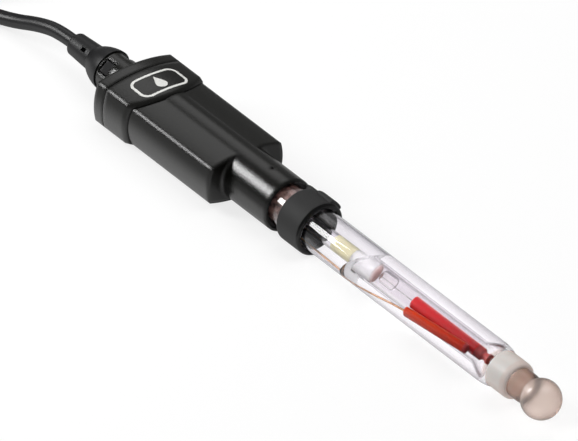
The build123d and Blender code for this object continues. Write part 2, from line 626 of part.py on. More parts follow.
def make_plug_body():
    """The moulded plug body with its tapered tail and grip grooves."""
    body = turned((0, 0), (0, TAPER_R), (TAPER_LONG, TAPER_R + TAPER_RISE),
                  (PLUG_TAPER_X, PLUG_R - PLUG_SHOULDER), (PLUG_TAPER_X + PLUG_SHOULDER, PLUG_R),
                  (PLUG_FRONT_X - PLUG_NOSE, PLUG_R), (PLUG_FRONT_X, PLUG_R - PLUG_NOSE), (PLUG_FRONT_X, 0))
    groove = Pos((PLUG_TAPER_X + PLUG_FRONT_X) / 2, 0, PLUG_R) * Box(
        PLUG_FRONT_X - PLUG_TAPER_X - 2 * GRIP_INSET, GRIP_WIDTH, 2 * GRIP_DEEP)
    for i in range(GRIP_COUNT):
        body -= spread(groove, 360 / GRIP_COUNT * (i + 0.5))
    for i in range(TAIL_GROOVES):
        x = TAIL_GROOVE_PITCH * (i + 1)
        body -= ring(x, x + TAIL_GROOVE_WIDTH, PLUG_R, TAPER_R - TAIL_GROOVE_DEEP)
    return at_plug(body - rod(PLUG_FRONT_X - INSERT_ROOT, PLUG_FRONT_X + OVERCUT, INSERT_R))


def make_insert():
    """The insert that holds the pins, with the lip that keeps the nut on."""
    lip_x = INSERT_FRONT_X - INSERT_LIP_LONG
    stem = rod(PLUG_FRONT_X - INSERT_ROOT, lip_x, INSERT_R)
    return at_plug(stem + rod(lip_x, INSERT_FRONT_X, INSERT_LIP_R) - make_pins())


def make_pins():
    """Five contact pins, one of them in the middle."""
    places = [(0.0, 0.0)]
    for i in range(PIN_COUNT - 1):
        turn = math.radians(45 + 90 * i)
        places.append((PIN_ORBIT * math.cos(turn), PIN_ORBIT * math.sin(turn)))
    return Compound([rod(INSERT_FRONT_X - PIN_ROOT, PIN_FRONT_X, PIN_R, y, z) for y, z in places])


def make_nut():
    """The locking nut: a ribbed grip behind a threaded nose that shrouds the pins."""
    nut = turned((NUT_REAR_X, INSERT_R + NUT_GAP), (NUT_REAR_X, NUT_R), (NUT_STEP_X - NUT_RIM, NUT_R),
                 (NUT_STEP_X, NUT_THREAD_R), (NUT_FRONT_X - THREAD_RIM, NUT_THREAD_R),
                 (NUT_FRONT_X, NUT_THREAD_R - THREAD_RIM), (NUT_FRONT_X, NUT_SHROUD_R),
                 (NUT_STEP_X, NUT_SHROUD_R), (NUT_STEP_X, INSERT_R + NUT_GAP))
    rib_x = (NUT_REAR_X + NUT_STEP_X - NUT_RIM) / 2
    rib = Pos(rib_x, 0, NUT_R) * Rot(0, 90, 0) * Cylinder(NUT_RIB_R, NUT_RIB_LONG)
    for i in range(NUT_RIB_COUNT):
        nut -= spread(rib, 360 / NUT_RIB_COUNT * i)
    return at_plug(nut)


def make_cable():
    """The cable with its hank, and everything on its far end."""
    add("cable_hank", make_hank())
    hank_room = make_hank(HANK_ROOM)
    add("cable", cable_tube("cable", CABLE_ROUTE) - hank_room)
    add("cable_tail", cable_tube("cable_tail", tail_route()) - hank_room)
    add("cable_tie", make_tie())
    add("plug_body", make_plug_body())
    add("plug_insert", make_insert())
    add("plug_pins", at_plug(make_pins()))
    add("plug_nut", make_nut())


def main():
    add("front_shell", make_front_shell())
    add("rear_shell", make_rear_shell())
    add("end_cap", make_end_cap())
    add("strain_relief", make_boot())
    add("outer_tube", make_outer_tube())
    add("inner_tube", make_inner_tube())
    add("glass_bulb", make_bulb())
    add("junction_ring", make_junction_ring())
    add("fill_sleeve", make_fill_sleeve())
    make_cartridges()
    make_leads()
    make_fillings()
    make_board()
    make_cable_cores()
    make_cable()
    os.makedirs("parts", exist_ok=True)
    for name, shape in parts.items():
        export_step(shape, f"parts/{name}.step")


main()
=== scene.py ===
import math

import bmesh
import bpy
from mathutils import Matrix, Vector


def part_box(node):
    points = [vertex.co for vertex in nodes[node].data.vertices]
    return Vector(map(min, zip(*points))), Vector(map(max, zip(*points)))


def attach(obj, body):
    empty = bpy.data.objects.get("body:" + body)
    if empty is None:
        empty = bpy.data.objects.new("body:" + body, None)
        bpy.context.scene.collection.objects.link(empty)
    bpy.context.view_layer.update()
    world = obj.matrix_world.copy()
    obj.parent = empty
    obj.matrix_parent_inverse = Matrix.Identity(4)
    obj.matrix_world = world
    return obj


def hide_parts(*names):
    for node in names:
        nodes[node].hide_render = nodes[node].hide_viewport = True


# A combination pH electrode on a white bench. Lengths are in millimetres in the shaft's own frame:
# x runs from the rim of the head's neck towards the ball, y and z lie across the shaft's axis.

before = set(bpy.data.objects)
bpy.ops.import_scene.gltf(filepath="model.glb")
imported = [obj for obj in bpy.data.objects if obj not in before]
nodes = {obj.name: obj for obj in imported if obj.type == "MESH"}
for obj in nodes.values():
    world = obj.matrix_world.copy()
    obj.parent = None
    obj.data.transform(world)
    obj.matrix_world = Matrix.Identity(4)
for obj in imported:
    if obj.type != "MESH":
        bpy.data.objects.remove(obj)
bpy.context.scene.view_settings.view_transform = "Standard"
bpy.context.scene.cycles.max_bounces = 32
bpy.context.scene.cycles.transmission_bounces = 32
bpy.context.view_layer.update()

# The shaft's frame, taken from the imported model
MM = 0.001
NECK_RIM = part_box("front_shell")[1].x
AXIS_Z = (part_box("outer_tube")[0].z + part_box("outer_tube")[1].z) / 2


def at(x, y=0.0, z=0.0):
    """A point of the shaft's frame as a place in the scene."""
    return Vector((NECK_RIM + x * MM, y * MM, AXIS_Z + z * MM))


def station(node, end):
    """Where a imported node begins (end 0) or stops (end 1) along the shaft."""
    return (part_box(node)[end].x - NECK_RIM) / MM


def radius(node):
    """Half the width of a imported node."""
    return (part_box(node)[1].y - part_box(node)[0].y) / 2 / MM


# Camera: the photograph's viewing angle and frame
CAMERA_TARGET = Vector((-0.007769, -0.001044, 0.004695))
CAMERA_AWAY = 4.049524
CAMERA_AZIMUTH, CAMERA_ELEVATION, CAMERA_ROLL = -40.482736, 34.122357, 4.100199
CAMERA_LENS = 979.2692
SENSOR_WIDTH = 36.0


def make_camera():
    """A long lens from far off, rolled a little, as the photograph was taken."""
    camera = bpy.data.objects.new("camera", bpy.data.cameras.new("camera"))
    bpy.context.scene.collection.objects.link(camera)
    turn = (Matrix.Rotation(math.radians(CAMERA_AZIMUTH + 90), 4, "Z")
            @ Matrix.Rotation(math.radians(90 - CAMERA_ELEVATION), 4, "X")
            @ Matrix.Rotation(math.radians(CAMERA_ROLL), 4, "Z"))
    camera.matrix_world = Matrix.Translation(CAMERA_TARGET) @ turn @ Matrix.Translation((0, 0, CAMERA_AWAY))
    camera.data.sensor_width = SENSOR_WIDTH
    camera.data.lens = CAMERA_LENS
    camera.data.clip_end = 3 * CAMERA_AWAY
    bpy.context.scene.camera = camera


# Cable: the route of the first stretch, the hank's turns and the tail that ends in the plug. A turn
# goes back along its -y run, round the rear loop, forward along its +y run and round the front loop,
# where it changes its radius or rises, so that each turn lies beside or on the one before.
CABLE_R = 2.0
CABLE_PITCH = 4.1
HANK_X, HANK_RUN = -148.0, 48.0
IN_R, OUT_R, TOP_R = 12.0, 16.1, 14.05
LOW_Z, HIGH_Z, TOP_Z = -5.03, -0.93, 2.62
PLUG_REAR_X, PLUG_Y, PLUG_Z = -163.0, -14.05, 12.08
LOOP_ANGLES = (15, 45, 75, 105, 135, 165)
LOOP_STEP = 15
LEAD_ROUTE = [
    (-90.0, 0.0, 0.0), (-97.0, 0.0, 0.0), (-104.2, -1.2, -1.4), (-111.8, -3.1, -4.0),
    (-119.8, -5.2, -5.4), (-127.0, -7.6, -5.65), (-132.6, -10.8, LOW_Z), (-137.2, -14.4, LOW_Z),
    (-142.6, -16.35, LOW_Z),
]
# Each turn's radius and height, then its radius and its rise in pitches at each angle of the front loop
TURNS = [
    (OUT_R, LOW_Z, [(16.1, 0), (16.1, 0), (15.9, 0), (15.0, 0), (13.4, 0), (12.0, 0)]),
    (IN_R, LOW_Z, [(12.1, 0), (12.3, 0.25), (12.3, 0.8), (12.2, 1), (12.0, 1), (12.0, 1)]),
    (IN_R, HIGH_Z, [(13.6, 0), (15.4, 0), (16.3, 0), (16.3, 0), (16.1, 0), (16.1, 0)]),
    (OUT_R, HIGH_Z, [(15.8, 1), (15.2, 1), (14.6, 1), (14.05, 0.93), (14.05, 0.866), (14.05, 0.866)]),
    (TOP_R, TOP_Z, []),
]
# Where a run rises over the turn below: how far behind the loop, and the share of the pitch
RISE = [(22.0, 0.0), (14.0, 0.0), (5.0, 0.7)]
TAIL_STRAIGHT = 6.0


def loop_point(x, side, angle, r, z):
    """A control point of the front loop (side 1) or the rear loop (side -1), from where the loop begins."""
    reach = r / math.cos(math.radians(LOOP_STEP))
    turn = math.radians(angle)
    return x + side * reach * math.sin(turn), side * reach * math.cos(turn), z


def hank_turns():
    """The hank's control points, turn by turn."""
    points = []
    rear_x = HANK_X - HANK_RUN
    for r, z, front in TURNS:
        step = r * math.tan(math.radians(LOOP_STEP))
        if points:
            points.append((HANK_X - step, -r, z))
        points.append((rear_x + step, -r, z))
        points += [loop_point(rear_x, -1, angle, r, z) for angle in LOOP_ANGLES]
        points.append((rear_x + step, r, z))
        if (r, z) in ((OUT_R, HIGH_Z), (TOP_R, TOP_Z)):
            points += [(HANK_X - back, r, z + CABLE_PITCH * share) for back, share in RISE]
        else:
            points.append((HANK_X - step, r, z))
        points += [loop_point(HANK_X, 1, angle, r_here, z + CABLE_PITCH * rise)
                   for angle, (r_here, rise) in zip(LOOP_ANGLES, front)]
    return points


def tail_route():
    """The tail: round the front loop once more while it rises, and into the plug on top of the run."""
    rise = PLUG_Z - TOP_Z - CABLE_PITCH
    loop = [loop_point(HANK_X, 1, angle, TOP_R, TOP_Z + CABLE_PITCH + rise * (i + 0.5) / len(LOOP_ANGLES))
            for i, angle in enumerate(LOOP_ANGLES)]
    return loop + [(HANK_X - TAIL_STRAIGHT, PLUG_Y, PLUG_Z), (PLUG_REAR_X, PLUG_Y, PLUG_Z)]


def make_cable():
    """The whole cable as one smooth line, from the strain relief to the plug."""
    curve = bpy.data.curves.new("cable_line", "CURVE")
    curve.dimensions = "3D"
    curve.bevel_depth = 1.0
    curve.bevel_resolution = 8
    curve.resolution_u = 6
    curve.use_fill_caps = True
    spline = curve.splines.new("NURBS")
    points = LEAD_ROUTE + hank_turns() + tail_route()
    spline.points.add(len(points) - 1)
    for point, place in zip(spline.points, points):
        point.co = (*at(*place), 1.0)
        point.radius = CABLE_R * MM
    spline.order_u = 3
    spline.use_endpoint_u = True
    cable = bpy.data.objects.new("cable_jacket", curve)
    bpy.context.scene.collection.objects.link(cable)
    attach(cable, "electrode")
    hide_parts("cable", "cable_hank", "cable_tail")
    return cable


# Materials


def colour(code):
    """An sRGB hex code as the linear colour that a shader takes."""
    channels = [int(code[i:i + 2], 16) / 255 for i in (1, 3, 5)]
    return [c / 12.92 if c <= 0.04045 else ((c + 0.055) / 1.055) ** 2.4 for c in channels] + [1.0]


def add_node(tree, kind, links=None, **settings):
    """Adds a node. Links give its input sockets a value, or the output socket that feeds them."""
    new = tree.nodes.new(kind)
    for name, value in settings.items():
        setattr(new, name, value)
    for name, value in (links or {}).items():
        if isinstance(value, bpy.types.NodeSocket):
            tree.links.new(value, new.inputs[name])
        else:
            new.inputs[name].default_value = value
    return new


def finish(name, **surface):
    """A material whose surface shader has the given values; returns it with its tree and its shader."""
    made = bpy.data.materials.new(name)
    made.use_nodes = True
    shader = made.node_tree.nodes["Principled BSDF"]
    for socket, value in surface.items():
        shader.inputs[socket.replace("_", " ")].default_value = value
    return made, made.node_tree, shader


def grain(tree, size, height, rounding=0.0):
    """An even moulded or blasted grain, from the size and height of its bumps in mm: its normal, and its
    light and dark. The rounding, in mm, softens the edges' shading, as no mould's corner is quite sharp."""
    place = add_node(tree, "ShaderNodeTexCoord").outputs["Object"]
    noise = add_node(tree, "ShaderNodeTexNoise", {"Vector": place, "Scale": 1 / (size * MM), "Detail": 3.0})
    bump = add_node(tree, "ShaderNodeBump", {"Height": noise.outputs["Fac"], "Distance": height * MM})
    if rounding:
        soft = add_node(tree, "ShaderNodeBevel", {"Radius": rounding * MM}, samples=BEVEL_SAMPLES)
        tree.links.new(soft.outputs["Normal"], bump.inputs["Normal"])
    return bump.outputs["Normal"], noise.outputs["Fac"]


def sinking(weight, *depths):
    """The values of a surface that light sinks into: how much of it, and how deep in mm red, green and
    blue go."""
    return {"Subsurface_Weight": weight, "Subsurface_Radius": [depth * MM for depth in depths],
            "Subsurface_Scale": 1.0}


def moulded(name, code, lighter, rough, size, height, rounding=0.0, gloss=0.5):
    """A moulded plastic or rubber: the tool's spark-eroded or blasted grain, drawn a little coarser than
    it is so that the picture can hold it, breaks up its soft sheen, and its colour is slightly uneven."""
    made, tree, shader = finish(name, Roughness=rough, IOR=1.5, Specular_IOR_Level=gloss)
    normal, speckle = grain(tree, size, height, rounding=rounding)
    tree.links.new(blend_colours(tree, speckle, code, lighter), shader.inputs["Base Color"])
    tree.links.new(normal, shader.inputs["Normal"])
    return made


def drawn_out(tree, across, along):
    """Streaks along the shaft's direction, as drawing or turning leaves them; sizes in mm."""
    place = add_node(tree, "ShaderNodeTexCoord").outputs["Object"]
    scale = (1 / (along * MM), 1 / (across * MM), 1 / (across * MM))
    spread = add_node(tree, "ShaderNodeVectorMath", {0: place, 1: scale}, operation="MULTIPLY")
    noise = add_node(tree, "ShaderNodeTexNoise", {"Vector": spread.outputs[0], "Scale": 1.0})
    return noise.outputs["Fac"]


def worked_metal(name, code, darker, rough, across, along, coat=0.0):
    """A metal with the marks of its making: streaks, drawn coarser than they are, change its roughness and
    stain it a little."""
    made, tree, shader = finish(name, Metallic=1.0, Coat_Weight=coat)
    streaks = drawn_out(tree, across, along)
    tree.links.new(blend_colours(tree, streaks, darker, code), shader.inputs["Base Color"])
    rough_here = add_node(tree, "ShaderNodeMapRange", {"Value": streaks, "To Min": rough + STREAK_ROUGHER,
                                                       "To Max": rough})
    tree.links.new(rough_here.outputs["Result"], shader.inputs["Roughness"])
    bump = add_node(tree, "ShaderNodeBump", {"Height": streaks, "Distance": STREAK_DEEP * MM})
    tree.links.new(bump.outputs["Normal"], shader.inputs["Normal"])
    return made


def along_shaft(tree, x0, x1):
    """0 behind x0 and 1 ahead of x1, both in mm along the shaft."""
    place = add_node(tree, "ShaderNodeTexCoord").outputs["Object"]
    x = add_node(tree, "ShaderNodeSeparateXYZ", {"Vector": place}).outputs["X"]
    share = add_node(tree, "ShaderNodeMapRange", {"Value": x, "From Min": at(x0).x, "From Max": at(x1).x})
    return share.outputs["Result"]


def blend_colours(tree, share, code_a, code_b):
    """A colour between two hex colours; either may also be an output socket."""
    ends = [code if isinstance(code, bpy.types.NodeSocket) else colour(code) for code in (code_a, code_b)]
    mix = tree.nodes.new("ShaderNodeMix")
    mix.data_type = "RGBA"
    tree.links.new(share, mix.inputs["Factor"])
    for socket, end in zip((mix.inputs[6], mix.inputs[7]), ends):
        if isinstance(end, bpy.types.NodeSocket):
            tree.links.new(end, socket)
        else:
            socket.default_value = end
    return mix.outputs[2]


def edge_on(tree, power):
    """1 where glass is seen edge on, 0 where it faces the eye; a higher power keeps it nearer the edge. It
    places the painted edge shade of the glass finishes.
    """
    facing = add_node(tree, "ShaderNodeLayerWeight", {"Blend": 0.5}).outputs["Facing"]
    return add_node(tree, "ShaderNodeMath", {0: facing, 1: power}, operation="POWER").outputs[0]


def clear_glass(name, front_code, edge_shade_code, gloss_code):
    """Drawn borosilicate glass: clear in front, and painted a darker lilac grey where it is seen edge on, a
    painted shade for the dark surroundings that glass shows at its edges. A face that liquid wets throws
    back almost no light, so its gloss is put out."""
    made, tree, shader = finish(name, Transmission_Weight=1.0, Roughness=0.0, IOR=1.474,
                                Specular_Tint=colour(gloss_code))
    # Painted shade: where the glass is seen edge on, the colour darkens to the second colour given.
    surface_colour = blend_colours(tree, edge_on(tree, TUBE_EDGE_POWER), front_code, edge_shade_code)
    tree.links.new(surface_colour, shader.inputs["Base Color"])
    return made


def membrane_glass():
    """The stem and the thin blown ball: a lithium glass, warm grey and a little hazy, less clear than the
    tube behind it. Where it is seen edge on, its colour is painted darker, a painted shade for the ball's
    dark rim."""
    made, tree, shader = finish("blown_membrane_glass", Transmission_Weight=1.0, IOR=1.5)
    # Painted shade: the colour darkens where the glass is seen edge on.
    surface_colour = blend_colours(tree, edge_on(tree, BALL_EDGE_POWER), "#e8ded9", "#c2afa5")
    tree.links.new(surface_colour, shader.inputs["Base Color"])
    haze = add_node(tree, "ShaderNodeMapRange", {"Value": along_shaft(tree, *HAZE_X), "To Max": HAZE_ROUGH})
    tree.links.new(haze.outputs["Result"], shader.inputs["Roughness"])
    return made


def liquid(name, code, ior):
    """A clear water-based filling. Its own gloss is put out, because glass, not air, lies against it."""
    return finish(name, Base_Color=colour(code), Transmission_Weight=1.0, Roughness=0.0, IOR=ior,
                  Specular_IOR_Level=0.0, Specular_Tint=colour("#000000"))[0]


def bubble_wall():
    """The buffer's face towards its gas bubble. Its sides throw back all the light; that gloss is tinted
    dark grey, and its colour is painted near black where it is seen edge on: painted shade that draws the
    bubble's dark outline.
    """
    made, tree, shader = finish("gas_bubble_surface", Transmission_Weight=1.0, Roughness=0.0, IOR=1.34,
                                Specular_Tint=colour("#3a3640"))
    # Painted shade: near black where the bubble's wall is seen edge on.
    surface_colour = blend_colours(tree, edge_on(tree, BUBBLE_EDGE_POWER), "#f6f6fa", "#15121a")
    tree.links.new(surface_colour, shader.inputs["Base Color"])
    return made


def sealing_gel():
    """White silicone gel: light sinks well into it, and its colour turns pink at its front end."""
    made, tree, shader = finish("white_sealing_gel", Roughness=0.6, IOR=1.41, Specular_IOR_Level=0.2,
                                **sinking(0.8, 2.0, 2.0, 2.0))
    pink_front = along_shaft(tree, GEL_FRONT_X - PINK_BACK, GEL_FRONT_X + PINK_AHEAD)
    tree.links.new(blend_colours(tree, pink_front, "#ffffff", "#e3bdb6"), shader.inputs["Base Color"])
    return made


def sintered_glass():
    """Frosted sintered glass: fine pores, drawn coarser than they are, scatter the light. Its colour is a
    little darker ahead of SINTER_BAND_X, and where it is seen edge on it is painted pinkish brown, a painted
    shade at its edges."""
    made, tree, shader = finish("sintered_junction_glass", Transmission_Weight=0.08, Roughness=0.35,
                                IOR=1.47, **sinking(0.6, 2.0, 1.6, 1.5))
    band = blend_colours(tree, along_shaft(tree, *SINTER_BAND_X), "#fff3ee", "#f8e4dd")
    # Painted shade: pinkish brown where the ring is seen edge on.
    surface_colour = blend_colours(tree, edge_on(tree, SINTER_EDGE_POWER), band, "#ecd4ca")
    tree.links.new(surface_colour, shader.inputs["Base Color"])
    tree.links.new(grain(tree, 0.25, 0.02)[0], shader.inputs["Normal"])
    return made


def cell_resin(name, node, rear_code, front_code, painted_highlight_code):
    """Coloured resin cast in a thin glass sleeve, into which light sinks. Its colour is painted paler along
    the side that faces up, a painted highlight for the light from above. Its colour deepens towards the tip,
    and the casting left faint lines along it."""
    made, tree, shader = finish(name, Roughness=0.35, IOR=1.5, Specular_IOR_Level=0.1,
                                **sinking(0.35, 1.2, 0.3, 0.2))
    body = blend_colours(tree, along_shaft(tree, station(node, 0), station(node, 1)), rear_code, front_code)
    lines = add_node(tree, "ShaderNodeMapRange", {"Value": drawn_out(tree, *CAST_LINE), "From Min": 0.35,
                                                  "From Max": 0.75, "To Max": 0.4})
    body = blend_colours(tree, lines.outputs["Result"], body, front_code)
    # Painted highlight: where the face turns up towards the light from above, the colour goes over to the
    # paler last colour given.
    face = add_node(tree, "ShaderNodeTexCoord").outputs["Normal"]
    lit = add_node(tree, "ShaderNodeVectorMath", {0: face, 1: UPWARD}, operation="DOT_PRODUCT")
    rim = add_node(tree, "ShaderNodeMapRange", {"Value": lit.outputs["Value"], "From Min": PAINTED_HIGHLIGHT_FROM,
                                                "From Max": PAINTED_HIGHLIGHT_FULL})
    surface_colour = blend_colours(tree, rim.outputs["Result"], body, painted_highlight_code)
    tree.links.new(surface_colour, shader.inputs["Base Color"])
    return made


def potting_resin():
    """The brown potting that closes the glass under the neck: cloudy cast resin with darker blots."""
    made, tree, shader = finish("brown_potting_resin", Roughness=0.3, IOR=1.55,
                                **sinking(0.15, 1.0, 0.6, 0.4))
    normal, blots = grain(tree, 1.4, 0.05)
    clouds = add_node(tree, "ShaderNodeMapRange", {"Value": blots, "From Min": 0.38, "From Max": 0.62})
    surface_colour = blend_colours(tree, clouds.outputs["Result"], "#3f2c29", "#8d6f66")
    tree.links.new(surface_colour, shader.inputs["Base Color"])
    tree.links.new(normal, shader.inputs["Normal"])
    return made


def soft_silicone():
    """Pale silicone rubber, cut from extruded cord: light sinks in, and it is cloudy, here paler and there
    yellower."""
    made, tree, shader = finish("pale_silicone_rubber", Roughness=0.5, IOR=1.41, Specular_IOR_Level=0.2,
                                **sinking(0.4, 1.5, 1.4, 1.0))
    normal, cloud = grain(tree, 0.8, 0.01)
    tree.links.new(blend_colours(tree, cloud, "#ddd7b2", "#ece7c8"), shader.inputs["Base Color"])
    tree.links.new(normal, shader.inputs["Normal"])
    return made


def circuit_board():
    """Green solder mask over glass cloth, whose weave of 0.4 mm cells shows faintly."""
    made, tree, shader = finish("solder_masked_board", Roughness=0.35, IOR=1.5)
    place = add_node(tree, "ShaderNodeTexCoord").outputs["Object"]
    weave = add_node(tree, "ShaderNodeTexChecker", {"Vector": place, "Scale": 1 / (CLOTH_CELL * MM),
                                                    "Color1": colour("#17552c"),
                                                    "Color2": colour("#1f6636")})
    tree.links.new(weave.outputs["Color"], shader.inputs["Base Color"])
    bump = add_node(tree, "ShaderNodeBump", {"Height": weave.outputs["Fac"], "Distance": 0.004 * MM})
    tree.links.new(bump.outputs["Normal"], shader.inputs["Normal"])
    return made


def nickel_nut():
    """Turned brass with a satin nickel plating, and the fine thread cut round the nose, 0.75 mm a turn."""
    made, tree, shader = finish("nickel_plated_brass", Metallic=1.0)
    place = add_node(tree, "ShaderNodeTexCoord").outputs["Object"]
    x = add_node(tree, "ShaderNodeSeparateXYZ", {"Vector": place}).outputs["X"]
    turns = add_node(tree, "ShaderNodeMath", {0: x, 1: 2 * math.pi / (THREAD_PITCH * MM)},
                     operation="MULTIPLY")
    ridge = add_node(tree, "ShaderNodeMath", {0: turns.outputs[0]}, operation="SINE")
    nose_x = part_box("plug_nut")[0].x
    on_nose = add_node(tree, "ShaderNodeMapRange", {"Value": x, "From Min": nose_x + THREAD_END * MM,
                                                    "From Max": nose_x + (THREAD_END - THREAD_FADE) * MM})
    thread = add_node(tree, "ShaderNodeMath", {0: ridge.outputs[0], 1: on_nose.outputs["Result"]},
                      operation="MULTIPLY")
    normal, marks = grain(tree, 0.5, 0.003)
    deep = add_node(tree, "ShaderNodeBump", {"Height": thread.outputs[0], "Distance": THREAD_DEEP * MM,
                                             "Normal": normal})
    tree.links.new(deep.outputs["Normal"], shader.inputs["Normal"])
    tree.links.new(blend_colours(tree, marks, "#a9a69d", "#c9c6be"), shader.inputs["Base Color"])
    rough = add_node(tree, "ShaderNodeMapRange", {"Value": marks, "To Min": 0.24, "To Max": 0.36})
    tree.links.new(rough.outputs["Result"], shader.inputs["Roughness"])
    return made


def printed_ink():
    """White pad-printing ink: a thin satin film that lets the grain under it through and has a few
    pinholes where the grain is deep."""
    made, tree, shader = finish("white_pad_ink", Roughness=0.4, IOR=1.5)
    normal, speckle = grain(tree, 0.3, 0.02)
    holes = add_node(tree, "ShaderNodeMapRange", {"Value": speckle, "From Min": 0.28, "From Max": 0.36})
    surface_colour = blend_colours(tree, holes.outputs["Result"], "#9a9a96", "#f0f0ec")
    tree.links.new(surface_colour, shader.inputs["Base Color"])
    tree.links.new(normal, shader.inputs["Normal"])
    return made


def sleeve_rubber():
    """Moulded rubber, matte and a little dusty, with a wetted glossy lip at its front."""
    made, tree, shader = finish("moulded_sleeve_rubber", IOR=1.5, Specular_IOR_Level=0.35)
    front = station("fill_sleeve", 1)
    lip = along_shaft(tree, front - LIP_WET, front - LIP_WET / 2)
    tree.links.new(blend_colours(tree, lip, "#343434", "#0c0c0c"), shader.inputs["Base Color"])
    rough = add_node(tree, "ShaderNodeMapRange", {"Value": lip, "To Min": 0.62, "To Max": 0.18})
    tree.links.new(rough.outputs["Result"], shader.inputs["Roughness"])
    tree.links.new(grain(tree, 0.4, 0.02, rounding=0.35)[0], shader.inputs["Normal"])
    return made


# The direction across the shaft that the camera sees as up
UPWARD = Vector((0.0, 0.722, 0.692))

# Where the liquids, the gel and the gas bubble lie
MENISCUS_X, MENISCUS_SLANT = 32.9, 0.95
LIQUID_REAR_X = 25.0
GEL_REAR_X, GEL_FRONT_X, GEL_DOME = 28.5, 38.3, 1.2
BUBBLE_X0, BUBBLE_X1, BUBBLE_R, BUBBLE_RISE = 40.0, 46.2, 1.25, 0.35

# Lengths in the finishes, in mm
STREAK_DEEP = 0.004
PINK_BACK, PINK_AHEAD = 0.6, 0.8
HAZE_X = (95.0, 99.0)
SINTER_BAND_X = (92.6, 93.4)
CAST_LINE = (0.35, 9.0)
CLOTH_CELL = 0.4
LIP_WET = 1.0
THREAD_PITCH, THREAD_DEEP, THREAD_END, THREAD_FADE = 0.75, 0.12, 7.6, 0.4

# Shares and powers in the finishes. A higher power keeps a glass's painted edge shade nearer its edge. The
# painted highlight on each cell lies where its face turns up, between these cosines.
BEVEL_SAMPLES = 6
STREAK_ROUGHER = 0.12
HAZE_ROUGH = 0.22
TUBE_EDGE_POWER, BALL_EDGE_POWER, BUBBLE_EDGE_POWER, SINTER_EDGE_POWER = 3.0, 1.2, 0.35, 1.5
PAINTED_HIGHLIGHT_FROM, PAINTED_HIGHLIGHT_FULL = 0.9, 0.97

MATERIALS = {
    # Head: glass-filled polyester from a spark-eroded tool, a fine grain under a soft gloss
    "head_plastic": moulded("glass_filled_polyester", "#060605", "#14140f", 0.2, 0.35, 0.04, 1.6, 0.6),
    # Strain relief: a soft elastomer from a smoother tool, duller than the head
    "boot_rubber": moulded("moulded_boot_elastomer", "#0b0b0c", "#18181a", 0.42, 0.35, 0.01, 0.3),
    "sleeve_rubber": sleeve_rubber(),
    # Shaft and measuring tube: drawn glass, with its gloss where it is dry and without it where it is wet
    # The second colour of each glass is its painted edge shade.
    "clear_glass": clear_glass("drawn_borosilicate_glass", "#f6f4f7", "#4c465a", "#ffffff"),
    "wetted_glass": clear_glass("wetted_borosilicate_glass", "#fefefe", "#9c94a6", "#000000"),
    "bulb_glass": membrane_glass(),
    "frosted_junction": sintered_glass(),
    "electrolyte": liquid("potassium_chloride_solution", "#fefdfe", 1.36),
    "buffer": liquid("phosphate_buffer_solution", "#fffefd", 1.34),
    "bubble_wall": bubble_wall(),
    # The last colour of each cell is its painted highlight on the side that faces up.
    "red_cell": cell_resin("red_cell_resin", "measuring_cell", "#e60c18", "#b0040c", "#ff9088"),
    "orange_cell": cell_resin("orange_cell_resin", "reference_cell", "#c83a10", "#a02008", "#d46230"),
    "dark_red_cap": cell_resin("dark_red_cap_resin", "measuring_cell_tip", "#7c0c14", "#b25c5a", "#d88c8a"),
    # Lead in the measuring tube: bare silver, whose bright skin the drawing die streaked
    "silver_wire": worked_metal("drawn_silver", "#e4e4e2", "#c4c4c0", 0.2, 0.05, 3.0),
    # Lead beside it: drawn copper under a clear enamel, so the streaks lie below a glossy coat
    "copper_wire": worked_metal("enamelled_copper", "#d29c74", "#a87a56", 0.25, 0.05, 3.0, coat=0.5),
    "brown_resin": potting_resin(),
    "pale_silicone": soft_silicone(),
    "white_gel": sealing_gel(),
    # Seal in the neck: moulded nitrile rubber, brownish black and smooth
    "seal_rubber": moulded("nitrile_seal_rubber", "#0c0a0a", "#181414", 0.38, 0.4, 0.01, 0.2),
    "board": circuit_board(),
    # Chips: epoxy moulding compound, matte from its blasted tool
    "chip": moulded("chip_moulding_compound", "#151515", "#262626", 0.55, 0.15, 0.01),
    # Cores: extruded PVC, an even dull red
    "core_insulation": moulded("core_insulation_pvc", "#7a2018", "#983024", 0.35, 0.3, 0.005),
    # Cable: extruded PVC, bluish black, with the die's faint roughness
    "cable_jacket": moulded("cable_jacket_pvc", "#0f0f11", "#1b1b1d", 0.36, 0.4, 0.01),
    # Plug: moulded polyamide, satin, with softly rounded ribs
    "plug_plastic": moulded("plug_polyamide", "#0d0d0d", "#1c1c1c", 0.42, 0.35, 0.02, 0.4),
    # Strap: extruded polyethylene, waxy and matte
    "tie_strap": moulded("tie_strap_polyethylene", "#111111", "#1e1e1e", 0.55, 0.4, 0.01, 0.2),
    "nut_metal": nickel_nut(),
    # Pins: turned brass with a bright gold plating
    "pin_metal": worked_metal("gold_plated_brass", "#ecc06a", "#c8983c", 0.16, 0.1, 0.1),
    "print_ink": printed_ink(),
}


def dress(piece, slot):
    """Gives a piece the finish of one of the record's material slots."""
    piece.data.materials.clear()
    piece.data.materials.append(MATERIALS[slot])


# Turned glass pieces: walls, and where each shape begins and ends along the shaft

SHAFT_R = radius("outer_tube")
SHAFT_BORE_R = SHAFT_R - 0.8
WETTED_R = SHAFT_R - 0.3
SHAFT_REAR_X = station("outer_tube", 0)
RING_REAR_X, RING_FRONT_X = station("junction_ring", 0), station("junction_ring", 1)
RING_R = radius("junction_ring")
RING_NOSE, RING_NOSE_DROP, RING_GAP = 1.6, 0.65, 0.01
SHOULDER_X = RING_REAR_X - 3.8
STEM_R = radius("inner_tube")
STEM_BORE_R = STEM_R - 0.7
STEM_FRONT_X = RING_FRONT_X + 2.8
LIP_LONG, LIP_GAP = 0.8, 0.05
